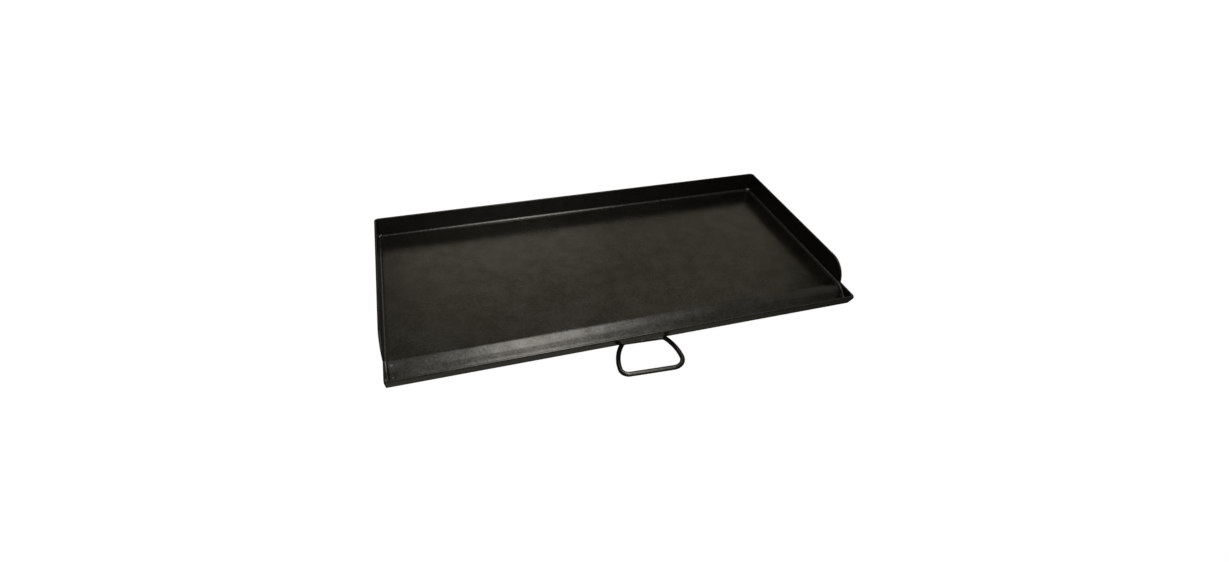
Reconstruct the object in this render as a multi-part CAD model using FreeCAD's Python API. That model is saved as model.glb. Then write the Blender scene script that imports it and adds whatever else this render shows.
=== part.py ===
"""Flat top griddle for two burners: a folded steel plate inside a bent wall, welded, with a can holder."""
import FreeCAD, Part
import math
import os

V = FreeCAD.Vector

# Driving dimensions, mm. Working frame: x = 0 at mid width, y = 0 near the front bend and +y to the back,
# z = 0 on the cooking surface. Every piece is moved to the row frame when it is written.
SHEET = 3.4                    # plate and wall sheet thickness
INNER_WIDTH = 806.0            # between the insides of the two side walls
BACK_INNER_Y = 356.0           # inside face of the back wall
WALL_RISE = 39.7               # wall height above the cooking surface
WALL_CORNER_R = 8.0            # outer bend radius of the wall's rear corners
WALL_FRONT_Y = 5.5             # front of the wall's quarter-round corner
WALL_EDGE_R = 0.7              # broken top edge of the wall
NOTCH_R = 2.5                  # inside corner between the quarter round and the end cap
CAP_TOP_Z = 4.5                # top edge of the trough's end caps
CAP_TIP_R = 4.5                # rounded front tip of the end caps

BEND_Y = 1.5                   # where the flat and the slope would meet in a sharp corner
SLOPE_DEG = 39.0               # fall of the trough's rear slope
FRONT_BEND_R = 30.0            # cooking-surface side radius of the front bend
LIP_LEAN_DEG = 25.0            # outward lean of the front lip
LIP_TOP = (-38.5, 5.0)         # outer top corner of the lip (y, z)
TROUGH_INNER_R = 3.5           # inside radius of the trough's bottom fold
LIP_EDGE_R = 1.6               # rounded top edge of the lip
DRAIN_R = 6.35                 # drain hole through the bottom fold
DRAIN_Y = -24.0

WIRE_R = 3.97                  # can holder wire
LOOP_X = 5.3                   # middle of the can holder's front bar
LOOP_FRONT_Y = -88.9
LOOP_TURN_DEG = 3.07           # clockwise turn of the whole holder about that point, seen from above
LOOP_HALF_WIDTH = 53.8         # centreline, at its widest
LOOP_FRONT_R = (12.7, 20.9)    # left and right front corners
LOOP_LEG_R = 89.4              # long curve of the legs
LOOP_REAR_Y = -18.7            # centreline of the rear bar, before the turn
LOOP_REAR_R = 9.0              # rear corners
LOOP_GAP = 0.8                 # root gap between the wire and the trough
HOLDER_WELD = (14.0, 11.0, 8.0)         # length, width and height of a weld lump before it is fitted
HOLDER_WELD_Y = -16.5
HOLDER_END_WELD_X = 34.0       # the welds at the rear corners, from the middle of the rear bar
HOLDER_REAR_WELD_X = 17.0      # the two welds between them

BEAD = 4.0                     # leg of the inside seam beads
BEAD_CROWN = 0.5               # how far a bead's face swells past its chord
TROUGH_BEAD_SHORT = 4.0        # from the upper end of a trough bead to the top of the lip

ANGLE = 31.75                  # equal-leg angle used for the rails
ANGLE_T = 3.2
ANGLE_EDGE_R = 0.8             # rounding of the foot's two long bottom edges
RAIL_FRONT_Y = 17.0            # front face of the front rail
RAIL_REAR_Y = 344.0            # rear face of the rear rail
RAIL_HALF_LENGTH = 376.0
STITCH = 4.0                   # leg of the stitch welds on the rails
STITCH_LENGTH = 26.0
CROSS_STITCHES = (-330.0, 330.0, 6)     # first place, last place and number along the front and rear rails
CENTRE_STITCHES = (80.0, 280.0, 4)
END_STITCHES = (90.0, 270.0, 3)

SPREADER_T = 1.9               # heat spreader sheet
SPREADER_X = (48.0, 336.0)     # inner and outer ends of the right-hand spreader
SPREADER_Y = (56.0, 302.0)     # front and rear edges of its flanges
SPREADER_FLANGE = 16.0
SPREADER_DEPTH = 17.0          # from the plate's underside to the spreader's underside
SPREADER_RUN = 12.0            # horizontal run of its sloping sides
SPREADER_STITCHES = 4          # along each flange
SPREADER_STITCH_INSET = 30.0   # from the spreader's end to its first stitch

# Worked out from the driving dimensions.
HALF = INNER_WIDTH / 2.0
OUTER = HALF + SHEET
BACK_OUTER_Y = BACK_INNER_Y + SHEET
UNDER = -SHEET                                  # plate's underside
FLOOR_Z = UNDER - ANGLE                         # what the griddle rests on
WALL_INNER_R = WALL_CORNER_R - SHEET
LOOP_TURN = math.radians(LOOP_TURN_DEG)
RIGHT_HUB_X = LOOP_HALF_WIDTH - LOOP_FRONT_R[1]  # right front corner, the foremost part of the griddle
RIGHT_HUB_Y = LOOP_FRONT_Y + LOOP_FRONT_R[1] * math.cos(LOOP_TURN) - RIGHT_HUB_X * math.sin(LOOP_TURN)
LOOP_FRONT_FACE_Y = RIGHT_HUB_Y - LOOP_FRONT_R[1] - WIRE_R
Y_MIDDLE = (LOOP_FRONT_FACE_Y + BACK_OUTER_Y) / 2.0
ROW_SHIFT = V(0.0, -Y_MIDDLE, -FLOOR_Z)
SLOPE = math.radians(SLOPE_DEG)
LEAN = math.radians(LIP_LEAN_DEG)

NEAR = 0.1                     # allowance when an edge is picked by its place
PAST = 30.0                    # how far a cutting shape reaches past the sheet that it cuts


def unit(angle):
    """Unit vector in the y-z plane at an angle from +y."""
    return V(0.0, math.cos(angle), math.sin(angle))


def meet(p, u, q, v):
    """Where the line through p along u meets the line through q along v, in the y-z plane."""
    cross = u.y * v.z - u.z * v.y
    s = ((q.y - p.y) * v.z - (q.z - p.z) * v.y) / cross
    return p + u * s


def rounded_path(points, radii):
    """Edges along a polyline, with a tangent arc at each inner point. Also returns the arcs' end points."""
    edges = []
    ends = []
    start = points[0]
    for i in range(1, len(points) - 1):
        corner = points[i]
        back = (points[i - 1] - corner).normalize()
        ahead = (points[i + 1] - corner).normalize()
        half_angle = back.getAngle(ahead) / 2.0
        reach = radii[i - 1] / math.tan(half_angle)
        to_centre = (back + ahead).normalize() * (radii[i - 1] / math.sin(half_angle))
        centre = corner + to_centre
        first = corner + back * reach
        middle = centre - to_centre.normalize() * radii[i - 1]
        last = corner + ahead * reach
        edges.append(Part.makeLine(start, first))
        edges.append(Part.Arc(first, middle, last).toShape())
        ends.append((first, last))
        start = last
    edges.append(Part.makeLine(start, points[-1]))
    return edges, ends


def sheet_side(offset):
    """Corner points and bend radii of the folded sheet's outline, offset downward from its upper side."""
    flat_dir = V(0.0, 1.0, 0.0)
    slope_dir = unit(SLOPE)
    lip_dir = unit(math.pi / 2.0 + LEAN)
    down_flat = V(0.0, 0.0, -1.0)
    down_slope = unit(SLOPE - math.pi / 2.0)
    out_lip = unit(math.pi + LEAN)
    flat = V(0.0, BEND_Y, 0.0) + down_flat * offset
    slope = V(0.0, BEND_Y, 0.0) + down_slope * offset
    lip = V(0.0, *LIP_TOP) + out_lip * (offset - SHEET)
    corners = [meet(flat, flat_dir, slope, slope_dir), meet(slope, slope_dir, lip, lip_dir)]
    radii = [FRONT_BEND_R - offset, TROUGH_INNER_R + offset]
    return corners, radii, lip, lip_dir


def sheet_path(offset, rear_y):
    """The folded sheet's outline from its rear edge to the top of the lip, at one offset."""
    corners, radii, lip, _ = sheet_side(offset)
    points = [V(0.0, rear_y, -offset)] + corners + [lip]
    return rounded_path(points, radii)


def extrude_x(edges, x0, x1):
    """Solid between x0 and x1 with the closed outline given in the y-z plane."""
    wire = Part.Wire(Part.__sortEdges__(edges))
    face = Part.Face(wire)
    face.translate(V(x0, 0.0, 0.0))
    return face.extrude(V(x1 - x0, 0.0, 0.0))


def box(x0, x1, y0, y1, z0, z1):
    return Part.makeBox(x1 - x0, y1 - y0, z1 - z0, V(x0, y0, z0))


def mirrored(shape):
    """The same piece on the other side of the griddle."""
    return shape.mirror(V(0.0, 0.0, 0.0), V(1.0, 0.0, 0.0))


def fillet_where(shape, radius, test):
    """Rounds the edges whose centre passes the test."""
    return shape.makeFillet(radius, [edge for edge in shape.Edges if test(edge.CenterOfMass)])


def at_rear_corner(centre):
    """True for the centre of an upright edge at either rear corner."""
    return centre.y > BACK_INNER_Y - NEAR and abs(centre.x) > HALF - NEAR


def cooking_plate():
    upper, _ = sheet_path(0.0, BACK_INNER_Y)
    lower, _ = sheet_path(SHEET, BACK_INNER_Y)
    rear = Part.makeLine(V(0.0, BACK_INNER_Y, 0.0), V(0.0, BACK_INNER_Y, UNDER))
    lip_end = Part.makeLine(upper[-1].Vertexes[-1].Point, lower[-1].Vertexes[-1].Point)
    plate = extrude_x(upper + lower + [rear, lip_end], -HALF, HALF)

    def on_lip_top(centre):
        return centre.z > LIP_TOP[1] - NEAR and abs(centre.x) < NEAR

    plate = fillet_where(plate, WALL_INNER_R, at_rear_corner)
    plate = fillet_where(plate, LIP_EDGE_R, on_lip_top)
    drain = Part.makeCylinder(DRAIN_R, -FLOOR_Z, V(LOOP_X, DRAIN_Y, FLOOR_Z))
    return plate.cut(drain)


def wall_plan():
    """The U of the wall seen from above, extruded well past its finished outline."""
    low = FLOOR_Z - PAST
    front = LIP_TOP[0] - PAST
    outside = box(-OUTER, OUTER, front, BACK_OUTER_Y, low, WALL_RISE)
    inside = box(-HALF, HALF, front - PAST, BACK_INNER_Y, low - PAST, WALL_RISE + PAST)
    outside = fillet_where(outside, WALL_CORNER_R, at_rear_corner)
    inside = fillet_where(inside, WALL_INNER_R, at_rear_corner)
    return outside.cut(inside)


def wall_band():
    """The bent wall: the U cut to its side outline, whose front ends close the trough."""
    corners, radii, lip, lip_dir = sheet_side(SHEET)
    tip = meet(lip, lip_dir, V(0.0, 0.0, CAP_TOP_Z), V(0.0, 1.0, 0.0))
    rear_y = BACK_OUTER_Y + PAST
    lower, _ = rounded_path([V(0.0, rear_y, UNDER)] + corners + [tip], radii)
    centre_y = WALL_FRONT_Y + WALL_RISE
    notch_y = centre_y - math.sqrt(WALL_RISE ** 2 - CAP_TOP_Z ** 2)
    notch = V(0.0, notch_y, CAP_TOP_Z)
    arc_top = V(0.0, centre_y, WALL_RISE)
    arc_middle = V(0.0, centre_y, 0.0) + unit(0.75 * math.pi) * WALL_RISE
    rear_top = V(0.0, rear_y, WALL_RISE)
    upper = [Part.makeLine(tip, notch),
             Part.Arc(notch, arc_middle, arc_top).toShape(),
             Part.makeLine(arc_top, rear_top),
             Part.makeLine(rear_top, V(0.0, rear_y, UNDER))]
    band = wall_plan().common(extrude_x(lower + upper, -OUTER - PAST, OUTER + PAST)).Solids[0]

    def at(point):
        return lambda centre: (centre - V(centre.x, point.y, point.z)).Length < NEAR

    band = fillet_where(band, NOTCH_R, at(notch))
    band = fillet_where(band, CAP_TIP_R, at(tip))
    return fillet_where(band, WALL_EDGE_R, lambda centre: abs(centre.z - WALL_RISE) < NEAR)


def bead_face(corner, along_wall, along_floor, leg=BEAD):
    """Section of a fillet bead: two legs from the corner, closed by a slightly swollen face."""
    a = corner + along_wall * leg
    b = corner + along_floor * leg
    swell = (along_wall + along_floor).normalize()
    middle = (a + b) * 0.5 + swell * BEAD_CROWN
    edges = [Part.makeLine(corner, a), Part.Arc(a, middle, b).toShape(), Part.makeLine(b, corner)]
    return Part.Face(Part.Wire(edges))


def back_seam_weld():
    x = HALF - WALL_INNER_R
    face = bead_face(V(-x, BACK_INNER_Y, 0.0), V(0, 0, 1), V(0, -1, 0))
    return face.extrude(V(2.0 * x, 0.0, 0.0))


def front_bend_start():
    """Where the flat ends and the front bend begins, on the upper side."""
    _, ends = sheet_path(0.0, BACK_INNER_Y)
    return ends[0][0].y


def right_seam_weld():
    y = front_bend_start()
    face = bead_face(V(HALF, y, 0.0), V(0, 0, 1), V(-1, 0, 0))
    return face.extrude(V(0.0, BACK_INNER_Y - WALL_INNER_R - y, 0.0))


def rear_right_corner_weld():
    """The bead turned round the inside of the wall's rear corner."""
    face = bead_face(V(HALF, BACK_INNER_Y - WALL_INNER_R, 0.0), V(0, 0, 1), V(-1, 0, 0))
    axis = V(HALF - WALL_INNER_R, BACK_INNER_Y - WALL_INNER_R, 0.0)
    return face.revolve(axis, V(0, 0, 1), 90.0)


def right_trough_weld():
    """The bead down the right end of the trough: round the front bend, down the slope and up the lip."""
    corners, _, lip, lip_dir = sheet_side(0.0)
    bend, slope_start = sheet_path(0.0, BACK_INNER_Y)[1][0]
    valley = corners[1]
    centre = V(0.0, bend.y, -FRONT_BEND_R)
    shift = V(HALF, 0.0, 0.0)
    inward = V(-1, 0, 0)
    around_bend = bead_face(bend + shift, V(0, 0, 1), inward)
    bend_piece = around_bend.revolve(centre, V(1, 0, 0), SLOPE_DEG)
    slope_up = unit(SLOPE + math.pi / 2.0)
    lip_in = unit(LEAN)
    top_room = lip_dir * TROUGH_BEAD_SHORT
    slope_piece = bead_face(slope_start + shift, slope_up, inward).extrude(valley - slope_start)
    lip_piece = bead_face(valley + shift, lip_in, inward).extrude(lip - top_room - valley)
    bead = bend_piece.fuse([slope_piece, lip_piece])
    bead = bead.cut(cooking_plate()).removeSplitter()
    return max(bead.Solids, key=lambda s: s.Volume)


def holder_place(x, y):
    """Where a point of the can holder's own plan lies once the holder is turned, on the wire's centreline."""
    ahead = y - LOOP_FRONT_Y
    return V(LOOP_X + x * math.cos(LOOP_TURN) + ahead * math.sin(LOOP_TURN),
             LOOP_FRONT_Y + ahead * math.cos(LOOP_TURN) - x * math.sin(LOOP_TURN),
             trough_bottom_z() - LOOP_GAP - WIRE_R)


def holder_side(side, front_r):
    """Rear corner, leg and front corner of the can holder's right (side 1) or left (side -1) half."""
    widest_y = LOOP_FRONT_Y + front_r
    rear_hub_y = LOOP_REAR_Y - LOOP_REAR_R
    leg_hub_x = LOOP_HALF_WIDTH - LOOP_LEG_R
    hub_distance = LOOP_LEG_R - LOOP_REAR_R
    leg_turn = math.asin((rear_hub_y - widest_y) / hub_distance)
    rear_hub_x = leg_hub_x + hub_distance * math.cos(leg_turn)

    def arc(hub_x, hub_y, radius, first, last):
        points = [holder_place(side * (hub_x + radius * math.cos(angle)), hub_y + radius * math.sin(angle))
                  for angle in (first, (first + last) / 2.0, last)]
        return Part.Arc(*points).toShape()

    return [arc(rear_hub_x, rear_hub_y, LOOP_REAR_R, math.pi / 2.0, leg_turn),
            arc(leg_hub_x, widest_y, LOOP_LEG_R, leg_turn, 0.0),
            arc(LOOP_HALF_WIDTH - front_r, widest_y, front_r, 0.0, -math.pi / 2.0)]


def loop_path():
    """Centreline of the can holder: a closed D with curved legs, seen from above."""
    left, right = [holder_side(side, front_r) for side, front_r in zip((-1, 1), LOOP_FRONT_R)]
    middle = holder_place(0.0, LOOP_REAR_Y)
    front_bar = Part.makeLine(right[-1].Vertexes[-1].Point, left[-1].Vertexes[-1].Point)
    return Part.Wire([Part.makeLine(middle, right[0].Vertexes[0].Point)] + right + [front_bar]
                     + left[::-1] + [Part.makeLine(left[0].Vertexes[0].Point, middle)])


def trough_bottom_z():
    """Lowest point of the trough's outer side."""
    corners, radii, lip, _ = sheet_side(SHEET)
    _, ends = rounded_path([V(0.0, BACK_INNER_Y, UNDER)] + corners + [lip], radii)
    centre = ends[1][0] + unit(SLOPE + math.pi / 2.0) * radii[1]
    return centre.z - radii[1]


def can_holder_loop():
    middle = holder_place(0.0, LOOP_REAR_Y)
    along = holder_place(LOOP_REAR_R, LOOP_REAR_Y) - middle
    section = Part.Wire(Part.makeCircle(WIRE_R, middle, along))
    return loop_path().makePipeShell([section], True, False)


def holder_weld(offsets, loop, plate):
    """Weld lumps behind the rear bar, at distances from its middle, fitted to the wire and the trough."""
    middle = holder_place(0.0, LOOP_REAR_Y)
    length, width, height = HOLDER_WELD
    scale = FreeCAD.Matrix()
    scale.scale(length / 2.0, width / 2.0, height / 2.0)
    lumps = []
    for offset in offsets:
        lump = Part.makeSphere(1.0).transformGeometry(scale)
        lump.translate(V(middle.x + offset, HOLDER_WELD_Y, middle.z + WIRE_R))
        lump = lump.cut(loop).cut(plate)
        lumps.append(max(lump.Solids, key=lambda s: s.Volume))
    return Part.makeCompound(lumps)


def angle_section(y_face, side):
    """Angle on its edge: upright leg at y_face, foot toward +y (side 1) or -y (side -1), in the y-z plane."""
    toe = y_face + side * ANGLE
    inside = y_face + side * ANGLE_T
    foot_top = FLOOR_Z + ANGLE_T
    outline = [(y_face, FLOOR_Z), (toe, FLOOR_Z), (toe, foot_top), (inside, foot_top), (inside, UNDER),
               (y_face, UNDER)]
    points = [V(0.0, y, z) for y, z in outline]
    return Part.Face(Part.makePolygon(points + points[:1]))


def cross_rail(y_face, side):
    """Front or rear rail, running left to right."""
    face = angle_section(y_face, side)
    face.translate(V(-RAIL_HALF_LENGTH, 0, 0))
    rail = face.extrude(V(2.0 * RAIL_HALF_LENGTH, 0, 0))
    return soften_rail(rail)


def soften_rail(rail):
    """Rounds the two long bottom edges of an angle rail's foot."""
    bottom = [e for e in rail.Edges if abs(e.CenterOfMass.z - FLOOR_Z) < NEAR and e.Length > 2.0 * ANGLE]
    return rail.makeFillet(ANGLE_EDGE_R, bottom)


def side_rail(x_face, side):
    """Rail running front to back between the feet of the front and rear rails."""
    y0 = RAIL_FRONT_Y + ANGLE
    y1 = RAIL_REAR_Y - ANGLE
    face = angle_section(0.0, side)
    face.rotate(V(0, 0, 0), V(0, 0, 1), -90.0)
    face.translate(V(x_face, y0, 0))
    rail = face.extrude(V(0, y1 - y0, 0))
    return soften_rail(rail)


def spaced(first, last, count):
    step = (last - first) / (count - 1)
    return [first + i * step for i in range(count)]


def stitches(face, along, places):
    """Stitch welds of one section, each centred on its place along the given direction."""
    welds = []
    for place in places:
        weld = face.extrude(along * STITCH_LENGTH)
        weld.translate(along * (place - STITCH_LENGTH / 2.0))
        welds.append(weld)
    return welds


def stitches_x(places, y, side, leg):
    """Stitch welds running left to right, in the corner of an edge at y and the plate's underside."""
    return stitches(bead_face(V(0, y, UNDER), V(0, 0, -1), V(0, side, 0), leg), V(1, 0, 0), places)


def stitches_y(places, x, side):
    """Stitch welds running front to back along a side rail."""
    return stitches(bead_face(V(x, 0, UNDER), V(0, 0, -1), V(side, 0, 0), STITCH), V(0, 1, 0), places)


def right_heat_spreader():
    """Hat-section pan under the right cooking zone, open at its two ends."""
    t = SPREADER_T
    y0, y1 = SPREADER_Y
    low = UNDER - SPREADER_DEPTH + t
    outside = [(y0, UNDER), (y0 + SPREADER_FLANGE, UNDER), (y0 + SPREADER_FLANGE + SPREADER_RUN, low),
               (y1 - SPREADER_FLANGE - SPREADER_RUN, low), (y1 - SPREADER_FLANGE, UNDER), (y1, UNDER)]
    slant = math.atan2(UNDER - low, SPREADER_RUN)
    shift = t * math.tan(slant / 2.0)
    flange_in = y0 + SPREADER_FLANGE - shift
    floor_in = y0 + SPREADER_FLANGE + SPREADER_RUN - shift
    mirror_y = y0 + y1
    inside = [(y0, UNDER - t), (flange_in, UNDER - t), (floor_in, low - t),
              (mirror_y - floor_in, low - t), (mirror_y - flange_in, UNDER - t), (y1, UNDER - t)]
    points = [V(SPREADER_X[0], y, z) for y, z in outside + inside[::-1]]
    face = Part.Face(Part.makePolygon(points + points[:1]))
    return face.extrude(V(SPREADER_X[1] - SPREADER_X[0], 0, 0))


def right_spreader_welds():
    """Stitches along the front and rear edges of the right spreader's flanges."""
    places = spaced(SPREADER_X[0] + SPREADER_STITCH_INSET, SPREADER_X[1] - SPREADER_STITCH_INSET,
                    SPREADER_STITCHES)
    return Part.makeCompound(stitches_x(places, SPREADER_Y[0], -1, SPREADER_T)
                             + stitches_x(places, SPREADER_Y[1], 1, SPREADER_T))


def right_hand_pieces():
    """The pieces that come in pairs, as their right-hand ones. {} stands for the side in their names."""
    return {"{}_seam_weld": right_seam_weld(),
            "rear_{}_corner_weld": rear_right_corner_weld(),
            "{}_trough_weld": right_trough_weld(),
            "{}_heat_spreader": right_heat_spreader(),
            "{}_spreader_welds": right_spreader_welds(),
            "{}_end_rail": side_rail(RAIL_HALF_LENGTH, -1),
            "{}_end_rail_welds": Part.makeCompound(stitches_y(spaced(*END_STITCHES), RAIL_HALF_LENGTH, 1))}


def holder_pieces(plate):
    """The can holder and its welds under the trough."""
    loop = can_holder_loop()
    return {"can_holder_loop": loop,
            "can_holder_left_weld": holder_weld([-HOLDER_END_WELD_X], loop, plate),
            "can_holder_right_weld": holder_weld([HOLDER_END_WELD_X], loop, plate),
            "can_holder_back_weld": holder_weld([-HOLDER_REAR_WELD_X, HOLDER_REAR_WELD_X], loop, plate)}


def rail_pieces():
    """The front, rear and centre rails and their welds."""
    cross_places = spaced(*CROSS_STITCHES)
    centre_welds = stitches_y(spaced(*CENTRE_STITCHES), -ANGLE_T / 2.0, -1)
    return {"front_rail": cross_rail(RAIL_FRONT_Y, 1),
            "rear_rail": cross_rail(RAIL_REAR_Y, -1),
            "centre_rail": side_rail(-ANGLE_T / 2.0, 1),
            "front_rail_welds": Part.makeCompound(stitches_x(cross_places, RAIL_FRONT_Y, -1, STITCH)),
            "rear_rail_welds": Part.makeCompound(stitches_x(cross_places, RAIL_REAR_Y, 1, STITCH)),
            "centre_rail_welds": Part.makeCompound(centre_welds)}


def write(name, shape):
    """Moves a piece to the row frame and writes its STEP file."""
    shape = shape.copy()
    shape.translate(ROW_SHIFT)
    if not shape.isValid():
        raise ValueError(name + " is not a valid shape")
    shape.exportStep("parts/" + name + ".step")
    print(name, len(shape.Solids), round(shape.Volume, 1))


def main():
    os.makedirs("parts", exist_ok=True)
    plate = cooking_plate()
    pieces = {"cooking_plate": plate, "wall_band": wall_band(), "back_seam_weld": back_seam_weld()}
    pieces.update(holder_pieces(plate))
    pieces.update(rail_pieces())
    for name, shape in right_hand_pieces().items():
        pieces[name.format("right")] = shape
        pieces[name.format("left")] = mirrored(shape)
    for name, shape in pieces.items():
        write(name, shape)


main()
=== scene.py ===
"""Looks of the flat top griddle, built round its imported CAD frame. Metres, in the CAD's own frame."""
import math

import bmesh
import bpy
from mathutils import Matrix, Vector, noise


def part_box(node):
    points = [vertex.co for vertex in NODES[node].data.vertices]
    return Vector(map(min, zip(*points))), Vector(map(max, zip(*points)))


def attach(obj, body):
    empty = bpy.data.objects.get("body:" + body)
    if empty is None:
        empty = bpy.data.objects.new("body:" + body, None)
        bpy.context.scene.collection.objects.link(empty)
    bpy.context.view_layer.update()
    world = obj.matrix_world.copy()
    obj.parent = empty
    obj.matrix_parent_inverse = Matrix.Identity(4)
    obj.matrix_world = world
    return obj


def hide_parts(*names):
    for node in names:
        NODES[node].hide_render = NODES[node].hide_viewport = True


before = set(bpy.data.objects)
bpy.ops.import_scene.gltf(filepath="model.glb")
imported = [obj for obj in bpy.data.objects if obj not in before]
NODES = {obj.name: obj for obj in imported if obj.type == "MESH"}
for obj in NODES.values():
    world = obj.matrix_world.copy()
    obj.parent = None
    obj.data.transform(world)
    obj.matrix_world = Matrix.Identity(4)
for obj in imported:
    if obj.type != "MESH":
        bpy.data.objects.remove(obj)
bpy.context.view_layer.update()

MM = 0.001

# Places of the camera and the lights are measured from the middle of the cooking surface's rear edge.
# Camera: where it stands, where it looks, and its lens.
CAMERA_AT = (-0.2999, -1.0188, 0.6665)
CAMERA_HEADING = math.radians(17.60)     # from +Y towards +X
CAMERA_DOWN = math.radians(40.91)
CAMERA_ROLL = math.radians(2.38)
LENS = 17.11
SENSOR = 36.0
LENS_SHIFT = (0.0246, 0.0172)

# Light and floor.
WORLD_ABOVE = (0.035, 0.035, 0.031, 1.0)
WORLD_BELOW = (0.135, 0.133, 0.110, 1.0)     # what the steel mirrors of the pale floor
WORLD_BELOW_RIGHT = (0.028, 0.028, 0.022, 1.0)
# The right side takes over between these values of a direction's x, the upper half between these of its z.
RIGHTWARD = (0.33, 0.60)
UPWARD = (-0.2, 0.0)
# Each panel: centre, aim, size, radiance and colour. Two brighter strips hang below the broad softbox.
PANELS = {
    "softbox": ((0.05, -0.56, 1.26), (0.05, -0.56, 0.0), (1.20, 2.20), 0.95, (0.97, 0.98, 1.0)),
    "strip": ((0.05, -0.51, 1.20), (0.05, -0.51, 0.0), (0.62, 1.46), 2.7, (0.98, 0.98, 1.0)),
    "bright_strip": ((0.0, -0.51, 1.14), (0.0, -0.51, 0.0), (0.26, 1.42), 3.9, (0.98, 0.98, 1.0)),
    "right_fill": ((1.06, -0.56, 1.30), (1.06, -0.56, 0.0), (0.84, 2.20), 0.36, (1.0, 0.98, 0.92)),
    "rear_panel": ((0.58, 1.78, 1.42), (0.15, 0.0, 0.0), (2.66, 1.6), 0.40, (1.0, 0.95, 0.74)),
    "far_glow": ((1.7, 1.9, 0.16), (-0.4, -0.2, 0.0), (1.8, 0.34), 0.75, (1.0, 0.98, 0.92)),
    "rear_glow": ((0.05, 1.60, 1.12), (0.0, 0.0, 0.0), (1.0, 0.5), 0.36, (1.0, 0.96, 0.84)),
    "front_panel": ((0.25, -3.0, 1.9), (0.0, 0.0, 0.0), (1.5, 0.9), 4.4, (1.0, 0.99, 0.95)),
}
FLOOR_FLAT_R = 5.0                       # the floor is flat this far out, and then curves up all round
FLOOR_CURVE_R = 3.5
FLOOR_TURNS = 96
FLOOR_WHITE = 0.90
FLOOR_ROUGH = 0.9
FLOOR_GLOW = 1.0

# Folded plate. Its angles and bend radii; its places come from the frame.
SHEET = 3.4 * MM
SLOPE = math.radians(39.0)
LIP_LEAN = math.radians(25.0)
FRONT_BEND_R = 30.0 * MM
VALLEY_R = 3.5 * MM
KNEE_AT = 0.62                           # where along the slope it is bowed most
KNEE_SINK = 0.5 * MM
KNEE_R = 60.0 * MM
WALL_INNER_R = 4.6 * MM
DRAIN_R = 6.35 * MM
DRAIN_TURNS = 64
DRAIN_X = 5.3 * MM
PLATE_STEP = 6.0 * MM                    # between the plate's sections
PLATE_RUN = 5.0 * MM                     # between stations along a section's straight runs
CORNER_SECTIONS = 6                      # sections in each rounded rear corner
PLATE_WAVE = 0.12 * MM                   # how far the flat is from true
PLATE_WAVE_PITCH = 180.0 * MM
WAVE_FADE = 40.0 * MM                    # from the walls and the bend to full waviness
ARC_CHORD = 0.8 * MM
ARC_TURN = math.radians(8.0)             # coarsest step round a tight bend
EDGE_POINTS = 10                         # round a sheet's half-round edge

# Weld beads.
BEAD_LEG = 4.0 * MM
BEAD_CROWN = 0.55 * MM
BEAD_STEP = 0.4 * MM
BEAD_ACROSS = 10
WOBBLE_PITCH = 9.0 * MM                  # a bead's size and ripples stray over about this length
WOBBLE_SIZE = 0.06
WOBBLE_SHIFT = 0.4 * MM
RIPPLE_PITCH = 2.5 * MM
RIPPLE_HEIGHT = 0.22 * MM
RIPPLE_AT_TOES = 0.35                    # of its height in the middle
RIPPLE_LAG = 1.2 * MM                    # how far a ripple's middle runs ahead of its ends
TOE_SINK = 0.25 * MM                     # how far a bead is let into the sheets
CORNER_OVERLAP = 3.0 * MM                # how far a rear corner's lump runs over the two seams
CORNER_SWELL = 1.35                      # its size over the seam's
CORNER_TAPER = 4.5 * MM
BLUNT = 0.05                             # how much of a taper's length its tip is cut back by
# Where each kind of bead starts in the noise.
BEAD_SEEDS = {"back": 1.0, "side": 2.0, "corner": 7.0, "slope": 11.0, "lip": 14.0, "stitch": 20.0}

# Can holder wire.
LOOP_TURN = math.radians(3.07)           # clockwise turn about the front bar's middle
LOOP_HALF_WIDTH = 53.8 * MM
LOOP_FRONT_R = (12.7 * MM, 20.9 * MM)    # left and right front corners
LOOP_LEG_R = 89.4 * MM
LOOP_REAR_R = 9.0 * MM
LOOP_DEPTH = 70.2 * MM                   # from the front bar's centreline to the rear bar's
WIRE_R = 3.97 * MM
WIRE_WAVE = 0.12 * MM
WIRE_WAVE_PITCH = 35.0 * MM
WIRE_WAVE_LAYER = 0.3                    # height in the noise
WIRE_SIDES = 28
WIRE_STEP = 2.0 * MM
WIRE_CHORD = 1.5 * MM

# Underside.
ANGLE_T = 3.2 * MM
ANGLE_ROOT_R = 3.0 * MM
ANGLE_TOE_R = 1.2 * MM
SPREADER_T = 1.9 * MM
SPREADER_FLANGE = 16.0 * MM
SPREADER_RUN = 12.0 * MM
SPREADER_BEND_R = 3.0 * MM
ANGLE_RUN = 8.0 * MM                     # between stations along the flats of an angle or a pan
RAIL_STEP = 20.0 * MM
SPREADER_STEP = 12.0 * MM
STITCH_TAPER = 3.5 * MM                  # a stitch weld's rounded ends
EDGE_R = 0.5 * MM                        # broken edges of the cut sheet
ANGLE_HEEL_R = 0.8 * MM
SPREADER_EDGE_R = 0.3 * MM
LUMP_VOXEL = 0.4 * MM                    # can-holder weld lumps
LUMP_PITCH = 2.2 * MM
LUMP_HEIGHT = 0.25 * MM

STEP_SLACK = 1e-6                        # keeps rounding from adding a step

# Mesh clean-up and shading.
MERGE = 0.001 * MM
CAD_MERGE = 0.01 * MM
FLAT_WITHIN = math.radians(0.3)
BEVEL_FROM = math.radians(45.0)
SHEET_SHARP = 35.0                       # degrees: sharper edges are shaded as creases
ROUND_SHARP = 60.0

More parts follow.
